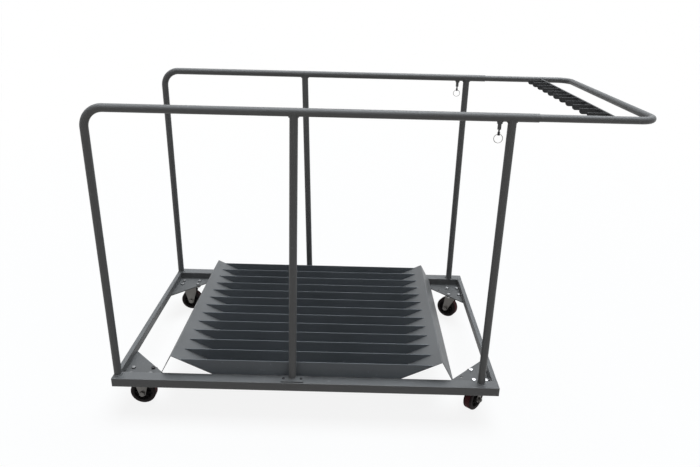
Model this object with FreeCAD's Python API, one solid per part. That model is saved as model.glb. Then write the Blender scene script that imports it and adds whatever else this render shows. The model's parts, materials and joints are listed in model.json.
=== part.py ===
import FreeCAD, Part
import math
import os

V = FreeCAD.Vector
os.makedirs("parts", exist_ok=True)

# Base frame: rectangular tubes, the long rails laid flat, closed by welded caps
base_length = 1322.0
base_depth = 885.0
rail_width = 44.0
rail_height = 32.0
side_rail_width = 17.0
rail_wall = 2.0
rail_corner = 2.0
end_cap_thickness = 2.0

# Corner gussets at the foot of the frame, the right ones with a tie hole each
gusset_thickness = 4.0
gusset_margin = 16.0
gusset_corner_cut = 8.0
tie_hole_radius = 4.0
tie_hole_reach = 95.0
tie_hole_edge = 11.7

# Round table tops that the trolley is made for
table_diameter = 1800.0
small_table_diameter = 1500.0
slot_count = 12

# Sheet tray: a floor between two folded ramps, and upright dividers on it
tray_offset = 1.5
sheet_thickness = 2.0
floor_half_length = 325.0
ramp_run = 141.5
ramp_rise = 69.0
ramp_flange = 27.0
leg_run = 44.0
leg_drop = 81.0
ridge_radius = 4.0
tray_margin = 3.0
divider_height = 55.0
bearer_width = 20.0
bearer_height = 28.0
bearer_wall = 2.0
bearer_offset = 230.0

# Round tube rails, bent down into the left posts, with separate posts under them
tube_diameter = 25.4
tube_wall = 1.6
tube_bend_radius = 60.0
rail_rise = 915.0
post_setback = 30.0
left_post_inset = 14.0
right_post_inset = 58.0
mid_post_offset = 601.0
front_mid_post_lean = 15.0
rear_mid_post_lean = -18.0
rail_overhang = 76.0
weld_gap = 0.15

# Foot plates that screw the middle posts down
foot_length = 78.0
foot_width = 36.0
foot_thickness = 4.0
foot_screw_spacing = 61.0
foot_screw_radius = 3.0
foot_screw_length = 12.0
foot_screw_head_radius = 5.0
foot_screw_head_height = 3.2
foot_screw_clearance = 0.05

# Telescopic end frame: a bent tube that slides in the rails and carries the comb
slide_clearance = 0.1
arm_wall = 1.5
arm_overlap = 200.0
arm_bend_radius = 50.0
hand_gap = 105.5
comb_bar_thickness = 5.0
comb_height = 18.0
comb_drop = 2.0
fin_length = 62.0
fin_thickness = 2.5
fin_corner_radius = 12.0

# Pull-ring lock pins under the rails, shown drawn back
pin_inset = 36.0
pin_radius = 3.0
pin_travel = 7.0
pin_setback = 0.7
pin_clearance = 0.05
pin_hole_clearance = 0.3
boss_radius = 8.0
boss_height = 6.0
barrel_radius = 5.5
barrel_length = 17.0
chamber_radius = 4.3
chamber_wall = 2.0
collar_radius = 4.1
collar_height = 2.0
collar_lift = 3.0
rod_radius = 2.4
knob_radius = 3.75
knob_length = 10.0
knob_gap = 0.3
ring_hole_radius = 1.7
ring_hole_rise = 3.5
ring_radius = 13.0
ring_wire_radius = 1.0
ring_sag = 0.15

# Casters: rigid pair at the left, swivel pair at the right
caster_height = 122.0
wheel_diameter = 90.0
wheel_width = 32.0
tyre_depth = 10.0
tread_edge_radius = 5.0
bond_gap = 0.05
hub_radius = 14.0
hub_length = 38.0
web_thickness = 10.0
rim_thickness = 5.0
hub_clearance = 1.0
axle_radius = 5.0
axle_clearance = 0.06
axle_seat_clearance = 0.1
axle_hex = 17.0
axle_head_height = 6.4
axle_nut_height = 8.0
axle_tail = 3.0
fork_thickness = 3.0
fork_toe_radius = 12.0
rigid_fork_half_width = 25.0
rigid_fork_shoulder = 45.0
caster_plate_thickness = 3.0
caster_plate_edge_x = 12.5
caster_plate_edge_y = 15.0
caster_plate_corner = 6.0
rigid_bolt_spacing_x = 70.0
rigid_bolt_spacing_y = 34.0
swivel_bolt_spacing_x = 45.0
swivel_bolt_spacing_y = 62.0
rigid_inset_x = 56.5
rigid_inset_y = 48.0
swivel_inset_x = 31.5
swivel_inset_y = 71.5
swivel_trail = 20.0
swivel_fork_half_width = 24.0
swivel_gap = 0.2
race_height = 11.0
race_top_radius = 27.0
race_foot_radius = 23.0
kingpin_radius = 6.0
kingpin_clearance = 0.08
kingpin_head_radius = 11.0
kingpin_head_height = 4.0
front_swivel_angle = 228.0
rear_swivel_angle = 145.0

# Caster bolts, heads up on the gussets and nuts under the caster plates
bolt_radius = 4.0
bolt_hole_clearance = 0.5
bolt_hex = 13.0
bolt_head_height = 5.3
bolt_nut_height = 6.5
bolt_tail = 1.5
thread_gap = 0.05

# Levels above the floor
frame_bottom = caster_height
frame_top = frame_bottom + rail_height
rail_z = frame_top + rail_rise
axle_z = wheel_diameter / 2

# Places along the length, with the middle of the whole trolley at zero
tube_radius = tube_diameter / 2
arm_radius = tube_radius - tube_wall - slide_clearance
table_radius = table_diameter / 2
slide_travel = table_radius - small_table_diameter / 2
tray_from_left = base_length / 2 + tray_offset
overall_length = tray_from_left + table_radius + comb_bar_thickness + hand_gap + 2 * arm_radius
left_end = -overall_length / 2
right_end = left_end + base_length
tray_x = left_end + tray_from_left
left_post_x = left_end + left_post_inset
right_post_x = right_end - right_post_inset
mid_post_x = left_post_x + mid_post_offset
rail_end_x = right_post_x + rail_overhang
arm_start_x = rail_end_x - arm_overlap
comb_x = tray_x + table_radius
end_bar_x = overall_length / 2 - arm_radius
pin_x = right_post_x - pin_inset

# Places across the depth, with the front at minus and the rear at plus
half_depth = base_depth / 2
inner_y = half_depth - rail_width
rail_mid_y = half_depth - rail_width / 2
post_y = half_depth - post_setback
slot_pitch = 2 * (inner_y - tray_margin) / slot_count
divider_places = [tray_margin - inner_y + i * slot_pitch for i in range(slot_count + 1)]
fin_pitch = 2 * post_y / slot_count
fin_places = [i * fin_pitch - post_y for i in range(1, slot_count)]


def save(name, *solids):
    shape = solids[0] if len(solids) == 1 else Part.makeCompound(list(solids))
    shape.exportStep("parts/" + name + ".step")


def block(x, y, z):
    return Part.makeBox(x[1] - x[0], y[1] - y[0], z[1] - z[0], V(x[0], y[0], z[0]))


def rod(start, end, radius):
    along = end - start
    return Part.makeCylinder(radius, along.Length, start, along)


def ring_of(start, end, outer, inner):
    return rod(start, end, outer).cut(rod(start, end, inner))


def edges_along(shape, axis):
    picked = []
    for edge in shape.Edges:
        spans = [edge.BoundBox.XLength, edge.BoundBox.YLength, edge.BoundBox.ZLength]
        if 2 * spans["xyz".index(axis)] > sum(spans):
            picked.append(edge)
    return picked


def rolled_block(x, y, z, corner, along):
    body = block(x, y, z)
    return body.makeFillet(corner, edges_along(body, along))


def plate(points, depth):
    face = Part.Face(Part.makePolygon(points + points[:1]))
    return face.extrude(depth)


def hexagon(centre, across_flats, depth):
    corner = across_flats / math.sqrt(3)
    square = V(1, 0, 0) if abs(depth.z) > abs(depth.x) + abs(depth.y) else V(0, 0, 1)
    other = depth.cross(square)
    other.normalize()
    turns = [i * math.pi / 3 for i in range(6)]
    points = [centre + square * (corner * math.cos(a)) + other * (corner * math.sin(a)) for a in turns]
    return plate(points, depth)


def box_tube(x, y, z, wall, along):
    inner = [(x[0] + wall, x[1] - wall), (y[0] + wall, y[1] - wall), (z[0] + wall, z[1] - wall)]
    inner["xyz".index(along)] = (x, y, z)["xyz".index(along)]
    return rolled_block(x, y, z, rail_corner, along).cut(block(*inner))


def bent_path(points, radius):
    # Straight runs joined by tangent arcs at the inner points
    edges = []
    last = points[0]
    for before, corner, after in zip(points, points[1:], points[2:]):
        back = before - corner
        ahead = after - corner
        back.normalize()
        ahead.normalize()
        half = back.getAngle(ahead) / 2
        reach = radius / math.tan(half)
        middle = back + ahead
        middle.normalize()
        mid_arc = corner + middle * (radius / math.sin(half) - radius)
        start = corner + back * reach
        end = corner + ahead * reach
        edges.append(Part.LineSegment(last, start).toShape())
        edges.append(Part.Arc(start, mid_arc, end).toShape())
        last = end
    edges.append(Part.LineSegment(last, points[-1]).toShape())
    return Part.Wire(edges)


def bent_tube(points, bend, outer, wall):
    path = bent_path(points, bend)
    heading = points[1] - points[0]
    skins = []
    for radius in (outer, outer - wall):
        profile = Part.Wire(Part.makeCircle(radius, points[0], heading))
        skins.append(path.makePipeShell([profile], True, False))
    return skins[0].cut(skins[1])


def folded_sheet(line, thickness, y):
    # A sheet whose upper face follows the line of (x, z) points
    normals = []
    for (x0, z0), (x1, z1) in zip(line, line[1:]):
        span = math.hypot(x1 - x0, z1 - z0)
        normals.append(((z1 - z0) / span, (x0 - x1) / span))
    if normals[0][1] > 0:
        normals = [(-a, -b) for a, b in normals]
    under = [(line[0][0] + normals[0][0] * thickness, line[0][1] + normals[0][1] * thickness)]
    for (x, z), one, two in zip(line[1:], normals, normals[1:]):
        share = thickness / (1 + one[0] * two[0] + one[1] * two[1])
        under.append((x + (one[0] + two[0]) * share, z + (one[1] + two[1]) * share))
    x, z = line[-1]
    under.append((x + normals[-1][0] * thickness, z + normals[-1][1] * thickness))
    points = [V(x, y[0], z) for x, z in line + under[::-1]]
    return plate(points, V(0, y[1] - y[0], 0))


# Base frame rails, end caps and the screw holes for the middle posts
foot_screws = [(mid_post_x + side * foot_screw_spacing / 2, end * rail_mid_y)
               for end in (-1, 1) for side in (-1, 1)]
screw_hole_radius = foot_screw_radius + foot_screw_clearance
screw_holes = [rod(V(x, y, frame_top - rail_wall), V(x, y, frame_top), screw_hole_radius)
               for x, y in foot_screws]
rail_x = (left_end + end_cap_thickness, right_end - end_cap_thickness)
rail_z_span = (frame_bottom, frame_top)
caps = []
for name, side in (("front", -1), ("rear", 1)):
    rail_y = tuple(sorted((side * inner_y, side * half_depth)))
    rail = box_tube(rail_x, rail_y, rail_z_span, rail_wall, "x")
    save(name + "_rail", rail.cut(Part.makeCompound(screw_holes)))
    for cap_x in ((left_end, rail_x[0]), (rail_x[1], right_end)):
        caps.append(rolled_block(cap_x, rail_y, rail_z_span, rail_corner, "x"))
save("rail_end_caps", *caps)
for name, side_x in (("left", (left_end, left_end + side_rail_width)),
                     ("right", (right_end - side_rail_width, right_end))):
    save(name + "_rail", box_tube(side_x, (-inner_y, inner_y), rail_z_span, rail_wall, "y"))

# Caster centres, taken from the inner corner of the frame beside each one
corners = {}
for end, x_sign, corner_x in (("left", 1, left_end + side_rail_width),
                              ("right", -1, right_end - side_rail_width)):
    for side, y_sign in (("front", 1), ("rear", -1)):
        corners[end, side] = (corner_x, -y_sign * inner_y, x_sign, y_sign)
insets = {"left": (rigid_inset_x, rigid_inset_y), "right": (swivel_inset_x, swivel_inset_y)}
spacings = {"left": (rigid_bolt_spacing_x, rigid_bolt_spacing_y),
            "right": (swivel_bolt_spacing_x, swivel_bolt_spacing_y)}
caster_places = {key: V(x + sx * insets[key[0]][0], y + sy * insets[key[0]][1], 0)
                 for key, (x, y, sx, sy) in corners.items()}
bolt_offsets = {end: [V(sx * span_x / 2, sy * span_y / 2, 0) for sx in (-1, 1) for sy in (-1, 1)]
                for end, (span_x, span_y) in spacings.items()}
bolt_places = [place + offset for key, place in caster_places.items() for offset in bolt_offsets[key[0]]]
bolt_hole_radius = bolt_radius + bolt_hole_clearance

# Corner gussets: triangles that just hold the caster bolts inside their long edge
gusset_leg = max(sum(insets[end]) + sum(spacings[end]) / 2 for end in insets) + gusset_margin
tie_hole_side = gusset_leg - tie_hole_reach - tie_hole_edge * math.sqrt(2)
gusset_top = frame_bottom + gusset_thickness
gussets = []
tie_holes = {}
for (end, side), (x, y, sx, sy) in corners.items():
    outline = [(gusset_corner_cut, 0), (gusset_leg, 0), (0, gusset_leg), (0, gusset_corner_cut)]
    points = [V(x + sx * a, y + sy * b, frame_bottom) for a, b in outline]
    through = V(0, 0, gusset_thickness)
    gusset = plate(points, through)
    holes = []
    for offset in bolt_offsets[end]:
        foot = caster_places[end, side] + offset + V(0, 0, frame_bottom)
        holes.append(rod(foot, foot + through, bolt_hole_radius))
    if end == "right":
        tie_hole = V(x + sx * tie_hole_reach, y + sy * tie_hole_side, frame_bottom)
        tie_holes[end, side] = tie_hole
        holes.append(rod(tie_hole, tie_hole + through, tie_hole_radius))
    gussets.append(gusset.cut(Part.makeCompound(holes)))
save("corner_gussets", *gussets)

# Tray floor, its two ramps and the bearers welded under it between the long rails
tray_y = (-inner_y, inner_y)
flange_end = floor_half_length - ramp_flange
floor_x = (tray_x - flange_end, tray_x + flange_end)
save("tray_floor", block(floor_x, tray_y, (frame_top - sheet_thickness, frame_top)))
for name, sign in (("left", -1), ("right", 1)):
    ridge = floor_half_length + ramp_run
    line = [(flange_end, 0), (floor_half_length, 0), (ridge, ramp_rise),
            (ridge + leg_run, ramp_rise - leg_drop)]
    line = [(tray_x + sign * a, frame_top + b) for a, b in line]
    ramp = folded_sheet(line, sheet_thickness, tray_y)
    ridge_edge = max(ramp.Edges, key=lambda e: e.CenterOfMass.z)
    save(name + "_ramp", ramp.makeFillet(ridge_radius, [ridge_edge]))
bearers = []
for sign in (-1, 1):
    middle = tray_x + sign * bearer_offset
    bearer_x = (middle - bearer_width / 2, middle + bearer_width / 2)
    bearer_z = (frame_top - sheet_thickness - bearer_height, frame_top - sheet_thickness)
    bearers.append(box_tube(bearer_x, tray_y, bearer_z, bearer_wall, "y"))
save("tray_bearers", *bearers)

# Dividers: upright plates whose slanted ends sit on the ramps
divider_top = floor_half_length + divider_height * ramp_run / ramp_rise
for number, y in enumerate(divider_places, 1):
    outline = [(-floor_half_length, 0), (floor_half_length, 0),
               (divider_top, divider_height), (-divider_top, divider_height)]
    points = [V(tray_x + a, y - sheet_thickness / 2, frame_top + b) for a, b in outline]
    save("divider_%02d" % number, plate(points, V(0, sheet_thickness, 0)))

# Top rails, posts, foot plates and lock pins, alike at the front and the rear
rail_inner = tube_radius - tube_wall
foot_top = frame_top + foot_thickness
feet = []
screws = []
barrels = []
boss_foot = rail_z - tube_radius - boss_height
barrel_foot = boss_foot - barrel_length
pin_top = rail_z - arm_radius - pin_setback
for name, side, lean in (("front", -1, front_mid_post_lean), ("rear", 1, rear_mid_post_lean)):
    y = side * post_y
    axis = (V(left_end, y, rail_z), V(rail_end_x, y, rail_z))
    rail_route = [V(left_post_x, y, frame_top), V(left_post_x, y, rail_z), V(rail_end_x, y, rail_z)]
    top_rail = bent_tube(rail_route, tube_bend_radius, tube_radius, tube_wall)
    pin_way = rod(V(pin_x, y, barrel_foot), V(pin_x, y, rail_z), pin_radius + pin_hole_clearance)
    save(name + "_top_rail", top_rail.cut(pin_way))

    # The head of each post is cut to the round of the rail, and its foot level
    saddle = rod(*axis, tube_radius + weld_gap)
    posts = (("mid", mid_post_x, foot_top, lean), ("right", right_post_x, frame_top, 0.0))
    for post, x, foot_z, shift in posts:
        post_foot = V(x, y, foot_z)
        post_head = V(x + shift, y, rail_z)
        below = post_foot - (post_head - post_foot) * (foot_thickness / rail_rise)
        tube = ring_of(below, post_head, tube_radius, rail_inner)
        ground = block((left_end, right_end), (y - tube_radius, y + tube_radius), (0, foot_z))
        save(name + "_" + post + "_post", tube.cut(ground).cut(saddle))

    foot_y = side * rail_mid_y
    foot = block((mid_post_x - foot_length / 2, mid_post_x + foot_length / 2),
                 (foot_y - foot_width / 2, foot_y + foot_width / 2), (frame_top, foot_top))
    foot = foot.makeFillet(foot_thickness, edges_along(foot, "z"))
    for x, screw_y in foot_screws:
        hole_top = V(x, screw_y, foot_top)
        foot = foot.cut(rod(V(x, screw_y, frame_top), hole_top, screw_hole_radius))
        if screw_y * side > 0:
            head = rod(hole_top, hole_top + V(0, 0, foot_screw_head_height), foot_screw_head_radius)
            rim = max(head.Edges, key=lambda e: e.CenterOfMass.z)
            head = head.makeFillet(foot_screw_head_height / 2, [rim])
            shank = rod(hole_top - V(0, 0, foot_screw_length), hole_top, foot_screw_radius)
            screws.append(head.fuse(shank))
    feet.append(foot)

    # Lock pin barrel: a welded boss and a hollow barrel, open to the pin at both ends
    boss = rod(V(pin_x, y, boss_foot), V(pin_x, y, rail_z), boss_radius).cut(saddle)
    boss = boss.common(block((pin_x - boss_radius, pin_x + boss_radius), (y - boss_radius, y + boss_radius),
                             (boss_foot, rail_z - tube_radius / 2)))
    barrel = boss.fuse(rod(V(pin_x, y, barrel_foot), V(pin_x, y, boss_foot), barrel_radius))
    chamber = rod(V(pin_x, y, barrel_foot + chamber_wall), V(pin_x, y, boss_foot), chamber_radius)
    nose_way = rod(V(pin_x, y, boss_foot), V(pin_x, y, rail_z), pin_radius + pin_clearance)
    rod_way = rod(V(pin_x, y, barrel_foot), V(pin_x, y, boss_foot), rod_radius + pin_clearance)
    barrels.append(barrel.cut(chamber).cut(nose_way).cut(rod_way))

    # Lock pin: nose, collar, rod and a knob with a cross hole for the ring
    collar_foot = barrel_foot + chamber_wall + collar_lift
    knob_top = barrel_foot - pin_travel - knob_gap
    knob_foot = knob_top - knob_length
    pin = rod(V(pin_x, y, collar_foot), V(pin_x, y, pin_top), pin_radius)
    pin = pin.fuse(rod(V(pin_x, y, collar_foot), V(pin_x, y, collar_foot + collar_height), collar_radius))
    pin = pin.fuse(rod(V(pin_x, y, knob_top), V(pin_x, y, collar_foot), rod_radius))
    pin = pin.fuse(rod(V(pin_x, y, knob_foot), V(pin_x, y, knob_top), knob_radius))
    ring_z = knob_foot + ring_hole_rise
    ring_hole = rod(V(pin_x - knob_radius, y, ring_z), V(pin_x + knob_radius, y, ring_z), ring_hole_radius)
    save(name + "_lock_pin", pin.cut(ring_hole))
    ring_centre = V(pin_x, y, ring_z - ring_sag - ring_radius)
    save(name + "_pull_ring", Part.makeTorus(ring_radius, ring_wire_radius, ring_centre, V(0, 1, 0)))
save("post_feet", *feet)
save("foot_screws", *screws)
save("lock_pin_barrels", *barrels)

# Telescopic end frame with lock holes for both table sizes
arm_route = [V(arm_start_x, -post_y, rail_z), V(end_bar_x, -post_y, rail_z),
             V(end_bar_x, post_y, rail_z), V(arm_start_x, post_y, rail_z)]
end_frame = bent_tube(arm_route, arm_bend_radius, arm_radius, arm_wall)
lock_holes = [rod(V(x, y, rail_z - tube_radius), V(x, y, rail_z), pin_radius + pin_hole_clearance)
              for x in (pin_x, pin_x + slide_travel) for y in (-post_y, post_y)]
save("end_frame", end_frame.cut(Part.makeCompound(lock_holes)))

# Comb: a flat bar between the arms, and fins that part it into as many slots as the tray
comb_z = (rail_z - comb_drop - comb_height / 2, rail_z - comb_drop + comb_height / 2)
comb_bar = block((comb_x, comb_x + comb_bar_thickness), (-post_y, post_y), comb_z)
for y in (-post_y, post_y):
    comb_bar = comb_bar.cut(rod(V(arm_start_x, y, rail_z), V(end_bar_x, y, rail_z), arm_radius + weld_gap))
save("comb_bar", max(comb_bar.Solids, key=lambda solid: solid.Volume))
fins = []
for y in fin_places:
    fin = block((comb_x - fin_length, comb_x), (y - fin_thickness / 2, y + fin_thickness / 2), comb_z)
    toe = min(fin.Edges, key=lambda e: e.CenterOfMass.x + e.CenterOfMass.z)
    fins.append(fin.makeFillet(fin_corner_radius, [toe]))
save("comb_fins", *fins)

# Caster parts, made about a caster centre at the origin with the wheel rolling along X
plate_foot = caster_height - caster_plate_thickness
fork_gap = hub_length / 2 + hub_clearance
fork_outer = fork_gap + fork_thickness


def across(width):
    # The two ends of a stretch of the axle line, centred on the wheel
    return V(0, -width / 2, axle_z), V(0, width / 2, axle_z)


def caster_plate(end):
    half_x = spacings[end][0] / 2 + caster_plate_edge_x
    half_y = spacings[end][1] / 2 + caster_plate_edge_y
    body = rolled_block((-half_x, half_x), (-half_y, half_y), (plate_foot, caster_height),
                        caster_plate_corner, "z")
    for offset in bolt_offsets[end]:
        foot = offset + V(0, 0, plate_foot)
        body = body.cut(rod(foot, offset + V(0, 0, caster_height), bolt_hole_radius))
    return body


def fork_legs(half_width, top, shoulder, trail):
    # Two plates with upright sides down to the shoulder, then tapered to a round toe at the axle
    legs = []
    outline = [(trail - fork_toe_radius, axle_z), (-half_width, shoulder), (-half_width, top),
               (half_width, top), (half_width, shoulder), (trail + fork_toe_radius, axle_z)]
    for y in (-fork_outer, fork_gap):
        points = [V(x, y, z) for x, z in outline]
        toe = Part.Arc(points[-1], V(trail, y, axle_z - fork_toe_radius), points[0]).toShape()
        edge = Part.Wire(Part.makePolygon(points).Edges + [toe])
        legs.append(Part.Face(edge).extrude(V(0, fork_thickness, 0)))
    hole_ends = (V(trail, -fork_outer, axle_z), V(trail, fork_outer, axle_z))
    return legs[0].fuse(legs[1]).cut(rod(*hole_ends, axle_radius + axle_seat_clearance))


def wheel_core():
    # Hub, web and rim turned about the axle
    rim_radius = wheel_diameter / 2 - tyre_depth
    bore = axle_radius + axle_clearance
    hub = ring_of(*across(hub_length), hub_radius, bore)
    web = ring_of(*across(web_thickness), rim_radius, bore)
    rim = ring_of(*across(wheel_width), rim_radius, rim_radius - rim_thickness)
    return hub.fuse(web).fuse(rim).removeSplitter()


def tyre():
    bed = wheel_diameter / 2 - tyre_depth + bond_gap
    body = ring_of(*across(wheel_width), wheel_diameter / 2, bed)
    rims = [e for e in body.Edges if e.BoundBox.ZLength > wheel_diameter - tyre_depth]
    return body.makeFillet(tread_edge_radius, rims)


def axle():
    # A hexagon bolt through both fork legs, and its nut
    head_seat, nut_seat = across(2 * fork_outer)
    nut_end = nut_seat + V(0, axle_nut_height, 0)
    shank = rod(head_seat, nut_end + V(0, axle_tail, 0), axle_radius)
    head = hexagon(head_seat, axle_hex, V(0, -axle_head_height, 0))
    nut = hexagon(nut_seat, axle_hex, V(0, axle_nut_height, 0))
    return [shank.fuse(head), nut.cut(rod(nut_seat, nut_end, axle_radius + thread_gap))]


def put(shape, place, angle=0.0, trail=0.0):
    # Move a caster part to its place, turned about the swivel axis
    copy = shape.copy()
    copy.translate(V(trail, 0, 0))
    copy.rotate(V(0, 0, 0), V(0, 0, 1), angle)
    copy.translate(place)
    return copy


# Rigid casters: plate and legs are one folded piece
rigid_axles = []
for side in ("front", "rear"):
    place = caster_places["left", side]
    legs = fork_legs(rigid_fork_half_width, plate_foot, axle_z + rigid_fork_shoulder, 0.0)
    fork = caster_plate("left").fuse(legs)
    save(side + "_rigid_fork", put(fork, place))
    save(side + "_rigid_wheel", put(wheel_core(), place))
    save(side + "_rigid_tyre", put(tyre(), place))
    rigid_axles += [put(solid, place) for solid in axle()]
save("rigid_axles", *rigid_axles)

# Swivel casters: the fork hangs on a kingpin under the plate's race
kingpins = []
crown_top = plate_foot - race_height - swivel_gap
crown_foot = crown_top - fork_thickness
head_top = crown_foot - swivel_gap
for side, angle in (("front", front_swivel_angle), ("rear", rear_swivel_angle)):
    place = caster_places["right", side]
    race = Part.makeCone(race_foot_radius, race_top_radius, race_height, V(0, 0, plate_foot - race_height))
    seat = rod(V(0, 0, plate_foot - race_height), V(0, 0, caster_height), kingpin_radius + thread_gap)
    save(side + "_swivel_plate", put(caster_plate("right").fuse(race).cut(seat), place))
    crown = block((-swivel_fork_half_width, swivel_fork_half_width), (-fork_outer, fork_outer),
                  (crown_foot, crown_top))
    crown = crown.fuse(rod(V(0, 0, crown_foot), V(0, 0, crown_top), race_top_radius))
    crown = crown.fuse(fork_legs(swivel_fork_half_width, crown_top, crown_foot, swivel_trail))
    way = rod(V(0, 0, crown_foot), V(0, 0, crown_top), kingpin_radius + kingpin_clearance)
    save(side + "_swivel_fork", put(crown.cut(way).removeSplitter(), place, angle))
    kingpin = rod(V(0, 0, head_top), V(0, 0, caster_height), kingpin_radius)
    head = rod(V(0, 0, head_top - kingpin_head_height), V(0, 0, head_top), kingpin_head_radius)
    kingpins.append(put(kingpin.fuse(head), place))
    save(side + "_swivel_wheel", put(wheel_core(), place, angle, swivel_trail))
    save(side + "_swivel_tyre", put(tyre(), place, angle, swivel_trail))
    save(side + "_swivel_axle", *[put(solid, place, angle, swivel_trail) for solid in axle()])
save("kingpins", *kingpins)

# Caster bolts and nuts
bolts = []
nuts = []
for place in bolt_places:
    seat = place + V(0, 0, gusset_top)
    nut_top = place + V(0, 0, plate_foot)
    tail = nut_top - V(0, 0, bolt_nut_height + bolt_tail)
    bolts.append(rod(tail, seat, bolt_radius).fuse(hexagon(seat, bolt_hex, V(0, 0, bolt_head_height))))
    nut_hole = rod(nut_top - V(0, 0, bolt_nut_height), nut_top, bolt_radius + thread_gap)
    nuts.append(hexagon(nut_top, bolt_hex, V(0, 0, -bolt_nut_height)).cut(nut_hole))
save("caster_bolts", *bolts)
save("caster_nuts", *nuts)
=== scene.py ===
import json
import math

import bmesh
import bpy
from mathutils import Matrix, Vector


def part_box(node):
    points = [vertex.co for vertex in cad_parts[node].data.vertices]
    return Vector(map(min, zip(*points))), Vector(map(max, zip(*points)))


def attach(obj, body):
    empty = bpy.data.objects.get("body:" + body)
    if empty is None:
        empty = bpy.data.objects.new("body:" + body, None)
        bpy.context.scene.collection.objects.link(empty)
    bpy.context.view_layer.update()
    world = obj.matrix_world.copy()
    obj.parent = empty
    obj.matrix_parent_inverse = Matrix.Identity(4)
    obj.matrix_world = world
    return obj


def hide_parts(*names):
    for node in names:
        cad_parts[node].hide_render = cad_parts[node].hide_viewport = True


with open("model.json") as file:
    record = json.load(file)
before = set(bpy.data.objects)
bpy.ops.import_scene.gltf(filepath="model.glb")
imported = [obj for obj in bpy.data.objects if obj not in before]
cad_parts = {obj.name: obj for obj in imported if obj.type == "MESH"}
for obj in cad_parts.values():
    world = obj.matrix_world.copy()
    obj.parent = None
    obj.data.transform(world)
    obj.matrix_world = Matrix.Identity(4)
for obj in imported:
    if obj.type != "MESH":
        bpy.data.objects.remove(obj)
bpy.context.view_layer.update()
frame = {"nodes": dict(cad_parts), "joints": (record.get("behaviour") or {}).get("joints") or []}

# Base frame: two long rectangular steel tubes laid flat, two narrow ones butted between them
# and thin caps welded on the open ends, all powder coated in one dark slate grey.


class Wire:
    # One socket of a node tree: arithmetic on it adds Math nodes, and node() adds any other

    def __init__(self, tree, socket=None):
        self.tree = tree
        self.socket = socket

    def node(self, kind, inputs, output=0, **settings):
        made = self.tree.nodes.new(kind)
        for key, value in settings.items():
            setattr(made, key, value)
        for key, value in inputs.items():
            if isinstance(value, Wire):
                self.tree.links.new(value.socket, made.inputs[key])
            else:
                made.inputs[key].default_value = value
        return Wire(self.tree, made.outputs[output])

    def math(self, operation, first, second):
        return self.node("ShaderNodeMath", {0: first, 1: second}, operation=operation)

    def __add__(self, other):
        return self.math("ADD", self, other)

    def __radd__(self, other):
        return self.math("ADD", other, self)

    def __sub__(self, other):
        return self.math("SUBTRACT", self, other)

    def __rsub__(self, other):
        return self.math("SUBTRACT", other, self)

    def __mul__(self, other):
        return self.math("MULTIPLY", self, other)

    def __rmul__(self, other):
        return self.math("MULTIPLY", other, self)

    def __truediv__(self, other):
        return self.math("DIVIDE", self, other)

    def __rtruediv__(self, other):
        return self.math("DIVIDE", other, self)

    def band(self, low, high):
        # The value stretched so that low gives 0 and high gives 1, cut off outside
        return self.node("ShaderNodeMapRange", {"Value": self, "From Min": low, "From Max": high})

    def blend(self, first, second):
        # A colour between the two, by this value
        return self.node("ShaderNodeMix", {0: self, 6: first, 7: second}, output=2, data_type="RGBA")


def bare_material(name):
    material = bpy.data.materials.new(name)
    material.use_nodes = True
    return material, material.node_tree.nodes["Principled BSDF"], Wire(material.node_tree)


def feed(shader, wire, colour, roughness, height, depth):
    # Join a finish's varying colour, roughness and fine relief to its shader
    links = wire.tree.links
    links.new(colour.socket, shader.inputs["Base Color"])
    links.new(roughness.socket, shader.inputs["Roughness"])
    bump = wire.node("ShaderNodeBump", {"Height": height, "Distance": depth})
    links.new(bump.socket, shader.inputs["Normal"])


def tint(colour, share):
    return tuple(share * part for part in colour) + (1.0,)


def powder_coat(name, colour, roughness):
    # Satin powder coat: uneven tone, orange-peel skin, dust on level faces, and edges painted lighter, as
    # thin coat there and as painted highlight
    dull, full, dusted, thin_and_highlit, scuffed = [tint(colour, share) for share in (0.92, 1.08, 1.7, 1.9, 2.1)]
    dust_share = 0.1
    scuff_share = 0.3
    gloss = 0.28
    peel_depth = 0.00012
    material, shader, wire = bare_material(name)
    spot = wire.node("ShaderNodeTexCoord", {}, output="Object")
    facing = wire.node("ShaderNodeTexCoord", {}, output="Normal")
    up = wire.node("ShaderNodeSeparateXYZ", {"Vector": facing}, output="Z").band(0.3, 1.0)
    edge = wire.node("ShaderNodeAttribute", {}, output="Fac", attribute_name="thin_coat_and_highlight")
    cloud = wire.node("ShaderNodeTexNoise", {"Vector": spot, "Scale": 5.0, "Detail": 5.0})
    peel = wire.node("ShaderNodeTexNoise", {"Vector": spot, "Scale": 420.0, "Detail": 2.0})
    fleck = wire.node("ShaderNodeTexNoise", {"Vector": spot, "Scale": 60.0, "Detail": 6.0})
    scuff = fleck.band(0.66, 0.74)
    tone = cloud.band(0.3, 0.7).blend(dull, full)
    dusty = (up * cloud.band(0.35, 0.75) * dust_share).blend(tone, dusted)
    # Painted highlight on the rounded edges, which also stands for the thinner coat there
    edge_highlit = (edge * (0.25 + 0.5 * fleck.band(0.4, 0.65))).blend(dusty, thin_and_highlit)
    wear_and_painted_light = (scuff * scuff_share).blend(edge_highlit, scuffed)
    shader.inputs["Specular IOR Level"].default_value = gloss
    feed(shader, wire, wear_and_painted_light, roughness + 0.16 * cloud.band(0.3, 0.7) + 0.1 * scuff, peel, peel_depth)
    return material


def shown(name, mesh, material):
    # A new object at the origin for a mesh that already has its place
    piece = bpy.data.objects.new(name, mesh)
    bpy.context.scene.collection.objects.link(piece)
    mesh.materials.clear()
    mesh.materials.append(material)
    return piece


def from_shape(name, shape, material):
    mesh = bpy.data.meshes.new(name)
    shape.to_mesh(mesh)
    shape.free()
    return shown(name, mesh, material)


def settled(piece):
    # Make what the piece's modifiers give its own mesh
    seen = piece.evaluated_get(bpy.context.evaluated_depsgraph_get())
    finished = bpy.data.meshes.new_from_object(seen)
    piece.modifiers.clear()
    piece.data = finished
    return piece


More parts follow.
